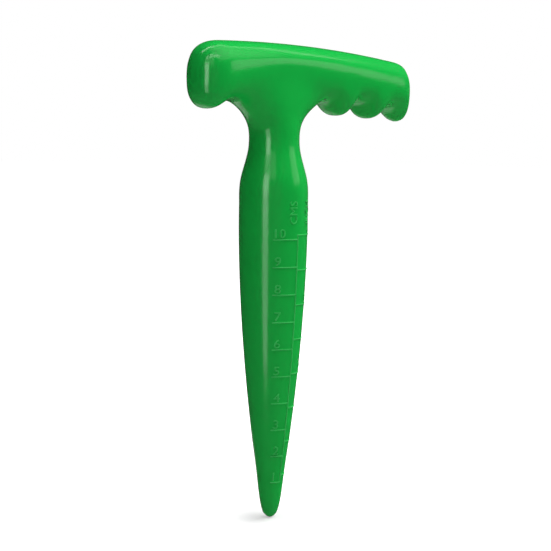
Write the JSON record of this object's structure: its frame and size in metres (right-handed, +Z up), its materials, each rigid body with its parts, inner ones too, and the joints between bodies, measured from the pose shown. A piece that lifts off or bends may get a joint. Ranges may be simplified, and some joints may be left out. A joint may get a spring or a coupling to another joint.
{
  "type": "garden dibber",
  "caption": "T-handle garden dibber: a finger-grooved grip with a palm hook over a round tapering blade with a raised depth scale, for pressing planting holes.",
  "frame": {"origin": "centre of the blade's tip, the point that meets the soil", "axes": "+Z up the blade to the grip, +X along the grip to the finger end, so the palm hook is at -X; the depth scale faces -Y"},
  "size_m": [0.1091, 0.0255, 0.1744],
  "materials": {
    "green_plastic": "glossy moulded polypropylene"
  },
  "bodies": {
    "root": {"front_shell": "green_plastic", "back_shell": "green_plastic"}
  },
  "joints": []
}
